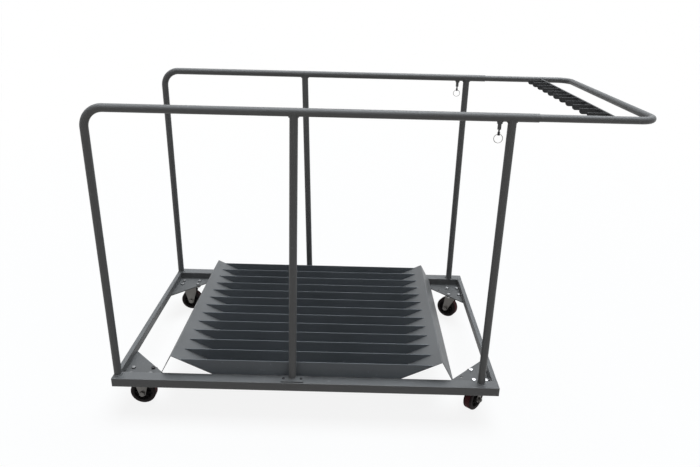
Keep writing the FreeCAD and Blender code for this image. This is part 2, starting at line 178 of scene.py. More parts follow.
def soften(piece, radius, segments=2):
    # Round the hard edges, mark the rounds for thin coat and painted highlight, and keep the flat faces flat
    hard_angle = math.radians(42)
    shape = bmesh.new()
    shape.from_mesh(piece.data)
    thin_and_highlit = shape.faces.layers.float.new("thin_coat_and_highlight")
    hard = [edge for edge in shape.edges if edge.is_manifold and edge.calc_face_angle(0) > hard_angle]
    rounded = bmesh.ops.bevel(shape, geom=hard, offset=radius, segments=segments, profile=0.5, affect="EDGES",
                              clamp_overlap=True)
    for face in rounded["faces"]:
        face[thin_and_highlit] = 1.0
    shape.to_mesh(piece.data)
    shape.free()
    piece.data.shade_smooth()
    piece.modifiers.new("shading", "WEIGHTED_NORMAL")
    return settled(piece)


def fix(piece, body, slot, *stands_for):
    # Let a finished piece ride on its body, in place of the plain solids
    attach(piece, body)
    if stands_for:
        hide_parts(*stands_for)
    return piece


def rolled_bar(shape, low, high, along, corner):
    # A length of rectangular tube with the rolled corners of its section
    made = bmesh.ops.create_cube(shape, size=1.0)["verts"]
    for vert in made:
        vert.co = low + Vector((0.5 + part) * side for part, side in zip(vert.co, high - low))
    lengthwise = [edge for edge in shape.edges if edge.verts[0] in made
                  and abs((edge.verts[0].co - edge.verts[1].co)[along]) > 0]
    bmesh.ops.bevel(shape, geom=lengthwise, offset=corner, segments=4, profile=0.5, affect="EDGES")


slate = (0.119, 0.122, 0.125)
satin = 0.4
frame_paint = powder_coat("slate_powder_coat", slate, satin)
tube_corner = 0.002
cut_edge = 0.0004
for rail, along in (("front_rail", 0), ("rear_rail", 0), ("left_rail", 1), ("right_rail", 1)):
    bar = bmesh.new()
    rolled_bar(bar, *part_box(rail), along, tube_corner)
    fix(soften(from_shape("painted_" + rail, bar, frame_paint), cut_edge), "frame", "frame_paint", rail)
caps_low, caps_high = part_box("rail_end_caps")
caps = bmesh.new()
for rail in ("front_rail", "rear_rail"):
    low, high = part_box(rail)
    for start, end in ((caps_low.x, low.x), (high.x, caps_high.x)):
        rolled_bar(caps, Vector((start, low.y, low.z)), Vector((end, high.y, high.z)), 0, tube_corner)
fix(soften(from_shape("painted_end_caps", caps, frame_paint), cut_edge),
    "frame", "frame_paint", "rail_end_caps")

# Seams of the base frame: the side tubes are welded to the long ones down the inner corner and
# across the top, in rippled beads under the paint.


def recipe(name, sizes):
    # A geometry node tree with these named inputs, and a wire from each of them
    tree = bpy.data.node_groups.new(name, "GeometryNodeTree")
    tree.interface.new_socket("Geometry", in_out="OUTPUT", socket_type="NodeSocketGeometry")
    for label, kind in sizes.items():
        tree.interface.new_socket(label, in_out="INPUT", socket_type="NodeSocket" + kind)
    start = tree.nodes.new("NodeGroupInput")
    return Wire(tree), {label: Wire(tree, start.outputs[label]) for label in sizes}


def serve(wire, geometry, paint):
    # End a tree with real geometry in one finish
    real = wire.node("GeometryNodeRealizeInstances", {"Geometry": geometry})
    painted = wire.node("GeometryNodeSetMaterial", {"Geometry": real, "Material": paint})
    end = wire.tree.nodes.new("NodeGroupOutput")
    wire.tree.links.new(painted.socket, end.inputs["Geometry"])
    return wire.tree


def cook(name, source, tree, material, **sizes):
    # Run a tree on a mesh or a curve and keep the result as a plain mesh piece
    raw = bpy.data.objects.new(name, source)
    bpy.context.scene.collection.objects.link(raw)
    modifier = raw.modifiers.new("recipe", "NODES")
    modifier.node_group = tree
    values = {"Finish": material}
    values.update({label.replace("_", " "): value for label, value in sizes.items()})
    for item in tree.interface.items_tree:
        if item.in_out == "INPUT" and item.name in values:
            modifier[item.identifier] = values[item.name]
    seen = raw.evaluated_get(bpy.context.evaluated_depsgraph_get())
    mesh = bpy.data.meshes.new_from_object(seen)
    bpy.data.objects.remove(raw)
    mesh.shade_smooth()
    return shown(name, mesh, material)


def routes(runs, closed=False):
    # A curve with one line of straight runs through each list of points
    curve = bpy.data.curves.new("route", "CURVE")
    curve.dimensions = "3D"
    for points in runs:
        spline = curve.splines.new("POLY")
        spline.points.add(len(points) - 1)
        for place, point in zip(spline.points, points):
            place.co = (*point, 1.0)
        spline.use_cyclic_u = closed
    return curve


bead_wire, bead_in = recipe("weld_bead", {"Geometry": "Geometry", "Bead Radius": "Float", "Run Out": "Float",
                                          "Finish": "Material"})
bead_size = bead_in["Bead Radius"]
bead_step = 0.4
ripple_rate = 3.5
end_length = 1.5
end_size = 0.25
fine_route = bead_wire.node("GeometryNodeResampleCurve",
                            {"Curve": bead_in["Geometry"], "Length": bead_size * bead_step}, mode="LENGTH")
run = bead_wire.node("GeometryNodeSplineParameter", {}, output="Length")
whole = bead_wire.node("GeometryNodeSplineLength", {}, output="Length")
from_end = bead_wire.math("MINIMUM", run, whole - run)
ripple = bead_wire.math("SINE", run / bead_size * ripple_rate, 0.0)
drift = bead_wire.node("ShaderNodeTexNoise", {"Scale": 300.0, "Detail": 2.0})
taper = (from_end / (bead_size * end_length + bead_in["Run Out"])).band(0.0, 1.0)
bead_scale = (0.65 + 0.1 * ripple + 0.5 * drift) * (end_size + (1 - end_size) * taper)
bead_section = bead_wire.node("GeometryNodeCurvePrimitiveCircle", {"Resolution": 8, "Radius": bead_size})
bead_skin = bead_wire.node("GeometryNodeCurveToMesh", {"Curve": fine_route, "Profile Curve": bead_section,
                                                       "Scale": bead_scale, "Fill Caps": True})
weld_bead = serve(bead_wire, bead_skin, bead_in["Finish"])


def seam(name, runs, size, body="frame", slot="frame_paint", paint=frame_paint, closed=False, run_out=0.0):
    # A painted weld bead along each run, on the body whose pieces it joins
    bead = cook(name, routes(runs, closed), weld_bead, paint, Bead_Radius=size, Run_Out=run_out)
    return fix(bead, body, slot)


frame_bead = 0.002
frame_seams = []
for rail in ("left_rail", "right_rail"):
    low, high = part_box(rail)
    inner_x = high.x if rail == "left_rail" else low.x
    seam_z = high.z - tube_corner / 2
    for y in (low.y, high.y):
        frame_seams.append([(inner_x, y, low.z + tube_corner), (inner_x, y, seam_z)])
        frame_seams.append([(low.x + tube_corner, y, seam_z), (high.x - tube_corner, y, seam_z)])
seam("painted_frame_seams", frame_seams, frame_bead)

# Corner gussets: flat steel triangles stitched in at the foot of the frame to carry the casters,
# with a tie hole near the long edge of the right ones, in the frame's coat painted darker as shade.
nodes = frame["nodes"]
same_spot = 0.000002


def merged_copy(name, members, material):
    # The named solids in one mesh, with their loose triangles joined to whole faces
    shape = bmesh.new()
    for member in members:
        known = len(shape.verts)
        shape.from_mesh(nodes[member].data)
        shape.verts.ensure_lookup_table()
        bmesh.ops.remove_doubles(shape, verts=shape.verts[known:], dist=same_spot)
    bmesh.ops.dissolve_limit(shape, angle_limit=math.radians(1), verts=shape.verts, edges=shape.edges)
    return from_shape(name, shape, material)


def dressed(name, members, paint, edge, body="frame", slot="frame_paint"):
    # The named solids with softened edges, in one finish and in place of the plain ones
    return fix(soften(merged_copy(name, members, paint), edge), body, slot, *members)


def loose_boxes(node):
    # The lowest and highest corner of each separate solid of a node
    shape = bmesh.new()
    shape.from_mesh(nodes[node].data)
    bmesh.ops.remove_doubles(shape, verts=shape.verts, dist=same_spot)
    met = set()
    boxes = []
    for first in shape.verts:
        if first in met:
            continue
        met.add(first)
        reached = [first]
        for vert in reached:
            for edge in vert.link_edges:
                other = edge.other_vert(vert)
                if other not in met:
                    met.add(other)
                    reached.append(other)
        spans = [sorted(vert.co[axis] for vert in reached) for axis in range(3)]
        boxes.append((Vector(span[0] for span in spans), Vector(span[-1] for span in spans)))
    shape.free()
    return sorted(boxes, key=lambda box: tuple(box[0]))


# Painted shade: the frame's coat made darker on the gussets
gusset_shade_share = 0.72
gusset_shaded_paint = powder_coat("gusset_shaded_powder_coat", [gusset_shade_share * part for part in slate], satin)
plate_edge = 0.0006
dressed("painted_gussets", ["corner_gussets"], gusset_shaded_paint, plate_edge)
stitches = ((0.024, 0.058), (0.112, 0.146))
gusset_seams = []
for low, high in loose_boxes("corner_gussets"):
    x, x_way = (low.x, 1) if low.x < 0 else (high.x, -1)
    y, y_way = (low.y, 1) if low.y < 0 else (high.y, -1)
    for start, end in stitches:
        gusset_seams.append([(x + x_way * start, y, high.z), (x + x_way * end, y, high.z)])
        gusset_seams.append([(x, y + y_way * start, high.z), (x, y + y_way * end, high.z)])
seam("painted_gusset_seams", gusset_seams, frame_bead, paint=gusset_shaded_paint)

# Tray: a sheet floor level with the frame, and a ramp folded up and over at each end, all of
# thin steel sheet stitched to the long rails, on two tubes that bear it from below.
tray_sheet = ["tray_floor", "left_ramp", "right_ramp"]
sheet_edge = 0.0005
bar_edge = 0.0008
dressed("painted_tray", tray_sheet, frame_paint, sheet_edge)
dressed("painted_bearers", ["tray_bearers"], frame_paint, bar_edge)
floor_low, floor_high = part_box("tray_floor")
tray_x = (floor_low.x + floor_high.x) / 2
half_stitch = 0.015
stitch_places = (-0.8, -0.4, 0.0, 0.4, 0.8)
seam_z = floor_high.z - tube_corner / 2
tray_bead = 0.0018
tray_seams = []
for share in stitch_places:
    middle = tray_x + share * (floor_high.x - tray_x)
    for y in (floor_low.y, floor_high.y):
        tray_seams.append([(middle - half_stitch, y, seam_z), (middle + half_stitch, y, seam_z)])
seam("painted_tray_seams", tray_seams, tray_bead)

# Dividers: upright sheet plates that part the tables, with ends cut to the slope of the ramps,
# tacked on at an even pitch, in a coat painted paler to lift the shade between the plates.


def sheet_plate(name, outline, thickness, material):
    # A flat plate standing along X, centred on its own sheet, from an outline of (x, z)
    edge_share = 0.3
    shape = bmesh.new()
    face = shape.faces.new([shape.verts.new((x, -thickness / 2, z)) for x, z in outline])
    grown = bmesh.ops.extrude_face_region(shape, geom=[face])
    moved = [part for part in grown["geom"] if isinstance(part, bmesh.types.BMVert)]
    bmesh.ops.translate(shape, verts=moved, vec=(0, thickness, 0))
    bmesh.ops.recalc_face_normals(shape, faces=shape.faces)
    return soften(from_shape(name, shape, material), thickness * edge_share)


row_wire, row_in = recipe("even_row", {"Geometry": "Geometry", "Plate": "Object", "Count": "Int",
                                       "Start": "Vector", "Pitch": "Vector", "Finish": "Material"})
row_line = row_wire.node("GeometryNodeMeshLine", {"Count": row_in["Count"], "Start Location": row_in["Start"],
                                                  "Offset": row_in["Pitch"]})
row_plate = row_wire.node("GeometryNodeObjectInfo", {"Object": row_in["Plate"]}, output="Geometry")
row_set = row_wire.node("GeometryNodeInstanceOnPoints", {"Points": row_line, "Instance": row_plate})
even_row = serve(row_wire, row_set, row_in["Finish"])


def in_a_row(name, plate, count, start, pitch, material):
    # The plate repeated at an even pitch, in place of the one it was made from
    rank = cook(name, bpy.data.meshes.new("rank"), even_row, material, Plate=plate, Count=count,
                Start=Vector(start), Pitch=Vector(pitch))
    bpy.data.objects.remove(plate)
    return rank


dividers = sorted(node for node in nodes if node.startswith("divider_"))
first_low, first_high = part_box(dividers[0])
last_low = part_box(dividers[-1])[0]
ramp_flange = 0.027
divider_foot = floor_high.x - tray_x + ramp_flange
divider_top = (first_high.x - first_low.x) / 2
divider_tall = first_high.z - first_low.z
divider_y = (first_low.y + first_high.y) / 2
divider_pitch = (last_low.y - first_low.y) / (len(dividers) - 1)
sheet = first_high.y - first_low.y
outline = [(-divider_foot, 0), (divider_foot, 0), (divider_top, divider_tall), (-divider_top, divider_tall)]
# Painted light: the coat made paler than the frame's to lift the shade between the plates
tray_shade_lifted_slate = (0.148, 0.163, 0.179)
matt = 0.45
divider_shade_lifted_paint = powder_coat("tray_shade_lifted_powder_coat", tray_shade_lifted_slate, matt)
rank = in_a_row("painted_dividers", sheet_plate("divider", outline, sheet, divider_shade_lifted_paint), len(dividers),
                (tray_x, divider_y, first_low.z), (0, divider_pitch, 0), divider_shade_lifted_paint)
fix(rank, "frame", "tray_paint", *dividers)

tack_wire, tack_in = recipe("tack_welds", {"Geometry": "Geometry", "Tack Radius": "Float", "Seed": "Int",
                                           "Finish": "Material"})
tack_blob = tack_wire.node("GeometryNodeMeshIcoSphere", {"Radius": tack_in["Tack Radius"], "Subdivisions": 2})
tack_range = {"Min": (0.7, 0.6, 0.7), "Max": (1.5, 1.0, 1.2), "Seed": tack_in["Seed"]}
tack_scale = tack_wire.node("FunctionNodeRandomValue", tack_range, data_type="FLOAT_VECTOR")
tack_set = tack_wire.node("GeometryNodeInstanceOnPoints",
                          {"Points": tack_in["Geometry"], "Instance": tack_blob, "Scale": tack_scale})
tack_welds = serve(tack_wire, tack_set, tack_in["Finish"])


def dots(points):
    mesh = bpy.data.meshes.new("dots")
    mesh.from_pydata([tuple(point) for point in points], [], [])
    return mesh


tack_radius = 0.0028
tack_seed = 7
end_tacks = (0.3, 0.8)
foot_tack = 0.5
tacks = []
for number in range(len(dividers)):
    y = divider_y + number * divider_pitch - sheet / 2
    for end in (-1, 1):
        for share in end_tacks:
            reach = divider_foot + share * (divider_top - divider_foot)
            tacks.append((tray_x + end * reach, y, first_low.z + share * divider_tall))
        tacks.append((tray_x + end * divider_foot * foot_tack, y, first_low.z))
tack_piece = cook("painted_divider_tacks", dots(tacks), tack_welds, frame_paint, Tack_Radius=tack_radius,
                  Seed=tack_seed)
fix(tack_piece, "frame", "frame_paint")

# Top rails and left posts: each side is one round steel tube, bent down at the left end and
# welded to the frame; its right end is left open for the sliding end frame.
bend_steps = 20
round_steps = 48
tube_wire, tube_in = recipe("bent_tube", {"Geometry": "Geometry", "Bend Radius": "Float",
                                          "Tube Radius": "Float", "Finish": "Material"})
bent = tube_wire.node("GeometryNodeFilletCurve",
                      {"Curve": tube_in["Geometry"], "Radius": tube_in["Bend Radius"], "Count": bend_steps},
                      mode="POLY")
section = tube_wire.node("GeometryNodeCurvePrimitiveCircle",
                         {"Resolution": round_steps, "Radius": tube_in["Tube Radius"]})
skin = tube_wire.node("GeometryNodeCurveToMesh",
                      {"Curve": bent, "Profile Curve": section, "Fill Caps": False})
bent_tube = serve(tube_wire, skin, tube_in["Finish"])


def steel_tube(name, points, bend, radius, wall, material):
    # A tube swept along its route, with its wall turned inwards
    tube = cook(name, routes([points]), bent_tube, material, Bend_Radius=bend, Tube_Radius=radius)
    thick = tube.modifiers.new("wall", "SOLIDIFY")
    thick.thickness = wall
    thick.offset = -1
    return settled(tube)


def turned(shape, profile, centre, axis, steps, closed=False):
    # Turn (along the axis, radius, width across flats or 0) points about an axis
    along = Vector(axis).normalized()
    across = along.orthogonal().normalized()
    beyond = along.cross(across)
    sixth = math.pi / 3
    rings = []
    for distance, radius, flats in profile:
        base = Vector(centre) + along * distance
        if radius == 0:
            rings.append([shape.verts.new(base)] * steps)
            continue
        ring = []
        for step in range(steps):
            turn = 2 * math.pi * step / steps
            flat_reach = flats / 2 / math.cos((turn + sixth / 2) % sixth - sixth / 2)
            reach = min(radius, flat_reach) if flats else radius
            ring.append(shape.verts.new(base + (across * math.cos(turn) + beyond * math.sin(turn)) * reach))
        rings.append(ring)
    made = []
    for one, two in list(zip(rings, rings[1:])) + ([(rings[-1], rings[0])] if closed else []):
        for step in range(steps):
            after = (step + 1) % steps
            corners = [one[step], one[after], two[after], two[step]]
            made.append(shape.faces.new(list(dict.fromkeys(corners))))
    bmesh.ops.recalc_face_normals(shape, faces=made)


def drilled(tube, spots, radius):
    # Round holes through the lower wall of a level tube, under these points of its axis
    hole_steps = 24
    drills = bmesh.new()
    rod = [(-2 * tube_radius, 0, 0), (-2 * tube_radius, radius, 0), (0, radius, 0), (0, 0, 0)]
    for spot in spots:
        turned(drills, rod, spot, (0, 0, 1), hole_steps)
    drill = from_shape("drill", drills, frame_paint)
    bore = tube.modifiers.new("holes", "BOOLEAN")
    bore.object = drill
    settled(tube)
    bpy.data.objects.remove(drill)
    return tube


def hoop(x, y, radius, height, reach=math.pi):
    # Points round a tube, each at the height that the function gives for its way across
    hoop_steps = 64
    turns = [reach * (2 * step / hoop_steps - 1) for step in range(hoop_steps)]
    return [(x + radius * math.cos(turn), y + radius * math.sin(turn), height(radius * math.sin(turn)))
            for turn in turns]


tube_wall = 0.0016
tube_bend = 0.06
sides = ("front", "rear")
rail_low, rail_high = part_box("front_top_rail")
tube_radius = (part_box("front_right_post")[1].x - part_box("front_right_post")[0].x) / 2
rail_z = rail_high.z - tube_radius
left_x = rail_low.x + tube_radius
frame_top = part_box("front_rail")[1].z
side_y = {side: sum(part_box(side + "_mid_post")[i].y for i in (0, 1)) / 2 for side in sides}
pin_low, pin_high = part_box("front_lock_pin")
pin_x = (pin_low.x + pin_high.x) / 2
pin_hole = 0.0033
foot_bead = 0.0032
foot_reach = math.radians(140)
foot_seams = []
for side in sides:
    y = side_y[side]
    bend_route = [(left_x, y, frame_top), (left_x, y, rail_z), (rail_high.x, y, rail_z)]
    rail = steel_tube("painted_%s_top_rail" % side, bend_route, tube_bend, tube_radius, tube_wall,
                      frame_paint)
    drilled(rail, [(pin_x, y, rail_z)], pin_hole)
    fix(soften(rail, cut_edge), "frame", "frame_paint", side + "_top_rail")
    foot_seams.append(hoop(left_x, y, tube_radius, lambda across: frame_top, foot_reach))
seam("painted_left_post_seams", foot_seams, foot_bead)

# Middle and right posts: straight lengths of the same tube, with heads notched to the round of
# the rail and welded all round; the middle ones lean a little and stand on foot plates.


def saddle(across):
    # The height of the underside of the rail, by the way across it
    return rail_z - math.sqrt(max(0.0, tube_radius ** 2 - across ** 2))


feet_low, feet_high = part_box("post_feet")
crotch = math.radians(80)
post_bead = 0.0026
head_bead = 0.004
head_run_out = 0.012
foot_seams = []
head_seams = []
for side in sides:
    y = side_y[side]
    for post in ("mid", "right"):
        low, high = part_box("%s_%s_post" % (side, post))
        middle_x = (low.x + high.x) / 2
        foot_x = (feet_low.x + feet_high.x) / 2 if post == "mid" else middle_x
        head_x = 2 * middle_x - foot_x
        tube = steel_tube("painted_%s_%s_post" % (side, post), [(foot_x, y, low.z), (head_x, y, rail_z)],
                          0, tube_radius, tube_wall, frame_paint)
        for vert in tube.data.vertices:
            if vert.co.z > rail_z - tube_wall:
                vert.co.z = saddle(vert.co.y - y)
            elif vert.co.z < low.z + tube_wall:
                vert.co.z = low.z
        fix(soften(tube, cut_edge), "frame", "frame_paint", "%s_%s_post" % (side, post))
        foot_z = low.z
        foot_seams.append(hoop(foot_x, y, tube_radius, lambda across: foot_z))
        head_seams += [hoop(head_x, y, reach, saddle, crotch) for reach in (tube_radius, -tube_radius)]
seam("painted_post_foot_seams", foot_seams, post_bead, closed=True)
seam("painted_post_head_seams", head_seams, head_bead, run_out=head_run_out)

# Feet and foot screws: small steel plates under the middle posts, each held down by two
# blackened pan-head screws with a socket.
dressed("painted_feet", ["post_feet"], frame_paint, bar_edge)


def plain_finish(name, colour, metallic, roughness, spread, grain, depth, gloss=0.5):
    # A plated or moulded surface: slow change of tone and gloss over a fine grain, with painted shade, dark
    # and dull, where it is marked
    shade_share = 0.04
    material, shader, wire = bare_material(name)
    spot = wire.node("ShaderNodeTexCoord", {}, output="Object")
    cloud = wire.node("ShaderNodeTexNoise", {"Vector": spot, "Scale": 35.0, "Detail": 5.0}).band(0.3, 0.7)
    fine = wire.node("ShaderNodeTexNoise", {"Vector": spot, "Scale": grain, "Detail": 3.0})
    wear_and_painted_light = wire.node("ShaderNodeAttribute", {}, output="Fac", attribute_name="wear_and_painted_light")
    unmarked = cloud.blend(tint(colour, 1 - spread), tint(colour, 1 + spread))
    tone = wear_and_painted_light.blend(unmarked, tint(colour, shade_share))
    shader.inputs["Metallic"].default_value = metallic
    shader.inputs["Specular IOR Level"].default_value = gloss
    feed(shader, wire, tone, roughness + 0.12 * cloud + 0.3 * wear_and_painted_light, fine, depth)
    return material


spot_wire, spot_in = recipe("set_on_spots", {"Geometry": "Geometry", "Item": "Object", "Seed": "Int",
                                             "Finish": "Material"})
spot_item = spot_wire.node("GeometryNodeObjectInfo", {"Object": spot_in["Item"]}, output="Geometry")
spot_range = {"Min": (0.0, 0.0, 0.0), "Max": (0.0, 0.0, 2 * math.pi), "Seed": spot_in["Seed"]}
spot_turn = spot_wire.node("FunctionNodeRandomValue", spot_range, data_type="FLOAT_VECTOR")
spot_set = spot_wire.node("GeometryNodeInstanceOnPoints",
                          {"Points": spot_in["Geometry"], "Instance": spot_item, "Rotation": spot_turn})
set_on_spots = serve(spot_wire, spot_set, spot_in["Finish"])


def fasteners(name, node, profile, level, closed, material, seed, shade_by_place=lambda spot: 0.0):
    # The same turned fastener at each solid of a node, each turned its own way and given painted shade by its
    # place
    fastener_steps = 36
    fastener_edge = 0.0001
    shape = bmesh.new()
    turned(shape, profile, (0, 0, 0), (0, 0, 1), fastener_steps, closed)
    item = soften(from_shape("fastener", shape, material), fastener_edge, 1)
    spots = [((low.x + high.x) / 2, (low.y + high.y) / 2, level) for low, high in loose_boxes(node)]
    places = dots(spots)
    places.attributes.new("wear_and_painted_light", "FLOAT", "POINT").data.foreach_set("value", [shade_by_place(spot) for spot in spots])
    pieces = cook(name, places, set_on_spots, material, Item=item, Seed=seed)
    bpy.data.objects.remove(item)
    return pieces


black_screw = plain_finish("black_oxide", (0.02, 0.02, 0.022), metallic=0.6, roughness=0.4, spread=0.3,
                           grain=900.0, depth=0.00004)
screw_low, screw_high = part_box("foot_screws")
foot_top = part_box("post_feet")[1].z
screw_tall = screw_high.z - foot_top
screw_deep = screw_low.z - foot_top
socket_deep = 0.3 * screw_tall
socket_flats = 0.004
shank = 0.003
rim = 0.005
rim_tall = 0.001
screw_dome = ((0.6, 0.0047), (0.9, 0.0039), (1.0, 0.0031))
screw_profile = [(screw_deep, 0, 0), (screw_deep, shank, 0), (0, shank, 0), (0, rim, 0), (rim_tall, rim, 0)]
screw_profile += [(share * screw_tall, radius, 0) for share, radius in screw_dome]
screw_profile += [(screw_tall, shank, socket_flats), (socket_deep, shank, socket_flats), (socket_deep, 0, 0)]
fix(fasteners("dark_foot_screws", "foot_screws", screw_profile, foot_top, False, black_screw, seed=3),
    "frame", "black_screw", "foot_screws")

# Telescopic end frame: one thinner tube bent into a U, whose arms slide in the top rails and
# have a lock hole for each size of table; its cross bar is also a handle.
joints = {joint["name"]: joint for joint in frame["joints"]}
end_low, end_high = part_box("end_frame")
arm_radius = (end_high.z - end_low.z) / 2
arm_bend = 0.05
arm_wall = 0.0015
arm_edge = 0.0002
end_x = end_high.x - arm_radius
loop = [(end_low.x, side_y["front"], rail_z), (end_x, side_y["front"], rail_z),
        (end_x, side_y["rear"], rail_z), (end_low.x, side_y["rear"], rail_z)]
end_frame = steel_tube("painted_end_frame", loop, arm_bend, arm_radius, arm_wall, frame_paint)
slide_travel = -joints["end_frame_slide"]["range_m"][0]
lock_holes = [(x, side_y[side], rail_z) for side in sides for x in (pin_x, pin_x + slide_travel)]
drilled(end_frame, lock_holes, pin_hole)
fix(soften(end_frame, arm_edge), "end_slide", "frame_paint", "end_frame")

# Comb: a flat steel bar welded across the end frame, with thin fins welded on edge to it that
# part the rims of the tables, painted much darker than the frame as painted shade.
# Painted shade: the frame's coat made much darker on the comb
comb_shaded_slate = (0.045, 0.047, 0.05)
comb_paint = powder_coat("comb_shaded_powder_coat", comb_shaded_slate, matt)
dressed("painted_comb_bar", ["comb_bar"], comb_paint, bar_edge, "end_slide", "comb_paint")
fins = loose_boxes("comb_fins")
fin_low, fin_high = fins[0]
fin_sheet = fin_high.y - fin_low.y
fin_y = sorted((low.y + high.y) / 2 for low, high in fins)
toe_radius = 0.012
toe_steps = 8
toe_turns = [math.pi * (1 + step / (2 * toe_steps)) for step in range(toe_steps + 1)]
fin_outline = [(fin_low.x + toe_radius * (1 + math.cos(turn)), fin_low.z + toe_radius * (1 + math.sin(turn)))
               for turn in toe_turns]
fin_outline += [(fin_high.x, fin_low.z), (fin_high.x, fin_high.z), (fin_low.x, fin_high.z)]
fin_rank = in_a_row("painted_comb_fins", sheet_plate("fin", fin_outline, fin_sheet, comb_paint), len(fins),
                    (0, fin_y[0], 0), (0, fin_y[1] - fin_y[0], 0), comb_paint)
fix(fin_rank, "end_slide", "comb_paint", "comb_fins")
bar_low, bar_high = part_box("comb_bar")
comb_bead = 0.0014
comb_seams = []
for y in fin_y:
    for way in (-1, 1):
        face_y = y + way * fin_sheet / 2
        comb_seams.append([(fin_high.x, face_y, fin_low.z), (fin_high.x, face_y, fin_high.z)])
arc_start = -75
arc_sweep = 112
arc_steps = 12
arc_turns = [math.radians(arc_start + arc_sweep * step / arc_steps) for step in range(arc_steps + 1)]
for side, way in (("front", 1), ("rear", -1)):
    for x in (bar_low.x, bar_high.x):
        comb_seams.append([(x, side_y[side] + way * arm_radius * math.cos(turn),
                            rail_z + arm_radius * math.sin(turn)) for turn in arc_turns])
seam("painted_comb_seams", comb_seams, comb_bead, "end_slide", "comb_paint", comb_paint)

# Lock pins: a painted barrel welded under each rail, a blackened pin drawn down out of it by its
# knob, and a bright ring of wire hung through the knob.
wire_finish = plain_finish("bright_wire", (0.24, 0.235, 0.23), metallic=1.0, roughness=0.25, spread=0.06,
                           grain=900.0, depth=0.00002)
dressed("painted_pin_barrels", ["lock_pin_barrels"], frame_paint, cut_edge, "frame", "barrel_paint")
boss_radius = 0.008
boss_bead = 0.0024
boss_seams = [hoop(pin_x, side_y[side], boss_radius, saddle) for side in sides]
seam("painted_barrel_seams", boss_seams, boss_bead, slot="barrel_paint", closed=True)
pin_edge = 0.0003
ring_wire = 0.001
wire_steps = 12
ring_steps = 72
for side in sides:
    dressed("dark_%s_pin" % side, [side + "_lock_pin"], black_screw, pin_edge, side + "_pin", "black_screw")
    low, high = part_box(side + "_pull_ring")
    ring_radius = (high.x - low.x) / 2 - ring_wire
    turns = [2 * math.pi * step / wire_steps for step in range(wire_steps)]
    coil = [(ring_wire * math.sin(turn), ring_radius + ring_wire * math.cos(turn), 0) for turn in turns]
    ring = bmesh.new()
    turned(ring, coil, (low + high) / 2, (0, 1, 0), ring_steps, True)
    piece = from_shape("bright_%s_ring" % side, ring, wire_finish)
    piece.data.shade_smooth()
    fix(piece, side + "_ring", "ring_wire", side + "_pull_ring")

# Casters: at the left a rigid fork pressed from one zinc-plated sheet, at the right a raced plate
# with a fork that swivels on a kingpin, each with a hexagon bolt for its wheel.
# Painted shade: the zinc is given a dark colour for the shade under the frame
zinc = plain_finish("shaded_zinc_plate", (0.134, 0.129, 0.122), metallic=1.0, roughness=0.38, spread=0.16,
                    grain=600.0, depth=0.00005)
steel_parts = {"frame": ["front_rigid_fork", "rear_rigid_fork", "rigid_axles", "front_swivel_plate",
                         "rear_swivel_plate", "kingpins"],
               "front_swivel": ["front_swivel_fork", "front_swivel_axle"],
               "rear_swivel": ["rear_swivel_fork", "rear_swivel_axle"]}
for body, members in steel_parts.items():
    for member in members:
        dressed("plated_" + member, [member], zinc, plate_edge, body, "zinc")

# Wheels: a moulded black core with ribs from hub to rim, and a tyre cast round the rim, dark
# maroon on the tread and black on its shoulders.
rib_wire, rib_in = recipe("round_set", {"Geometry": "Geometry", "Item": "Object", "Count": "Int",
                                        "Centre": "Vector", "Axle": "Vector", "Finish": "Material"})
rib_line = {"Count": rib_in["Count"], "Start Location": rib_in["Centre"], "Offset": (0.0, 0.0, 0.0)}
rib_spots = rib_wire.node("GeometryNodeMeshLine", rib_line)
rib_number = rib_wire.node("GeometryNodeInputIndex", {})
rib_angle = rib_number / rib_in["Count"] * (2 * math.pi)
rib_turn = rib_wire.node("FunctionNodeAxisAngleToRotation", {"Axis": rib_in["Axle"], "Angle": rib_angle})
rib_item = rib_wire.node("GeometryNodeObjectInfo", {"Object": rib_in["Item"]}, output="Geometry")
rib_set = rib_wire.node("GeometryNodeInstanceOnPoints",
                        {"Points": rib_spots, "Instance": rib_item, "Rotation": rib_turn})
round_set = serve(rib_wire, rib_set, rib_in["Finish"])

core_finish = plain_finish("moulded_core", (0.009, 0.008, 0.008), metallic=0.0, roughness=0.65, spread=0.2,
                           grain=500.0, depth=0.00008, gloss=0.15)
tread_finish, tread_shader, tread_wire = bare_material("maroon_tread")
tread_spot = tread_wire.node("ShaderNodeTexCoord", {}, output="Object")
tread_noise = tread_wire.node("ShaderNodeTexNoise", {"Vector": tread_spot, "Scale": 90.0, "Detail": 5.0})
tread_cloud = tread_noise.band(0.3, 0.7)
tread_grain = tread_wire.node("ShaderNodeTexNoise", {"Vector": tread_spot, "Scale": 700.0, "Detail": 3.0})
grain_depth = 0.0001
tread_gloss = 0.2
shoulder = tread_wire.node("ShaderNodeAttribute", {}, output="Fac", attribute_name="shoulder")
maroon = tread_cloud.blend((0.032, 0.003, 0.0045, 1.0), (0.068, 0.009, 0.012, 1.0))
black = tread_cloud.blend((0.006, 0.0035, 0.0035, 1.0), (0.013, 0.007, 0.0072, 1.0))
tread_shader.inputs["Specular IOR Level"].default_value = tread_gloss
tread_tone = shoulder.blend(maroon, black)
feed(tread_shader, tread_wire, tread_tone, 0.6 + 0.2 * tread_cloud, tread_grain, grain_depth)


def both_halves(half):
    # A closed outline from the (along the axle, radius) points of its one half
    return [(-along, radius, 0) for along, radius in half] + [(*point, 0) for point in reversed(half)]


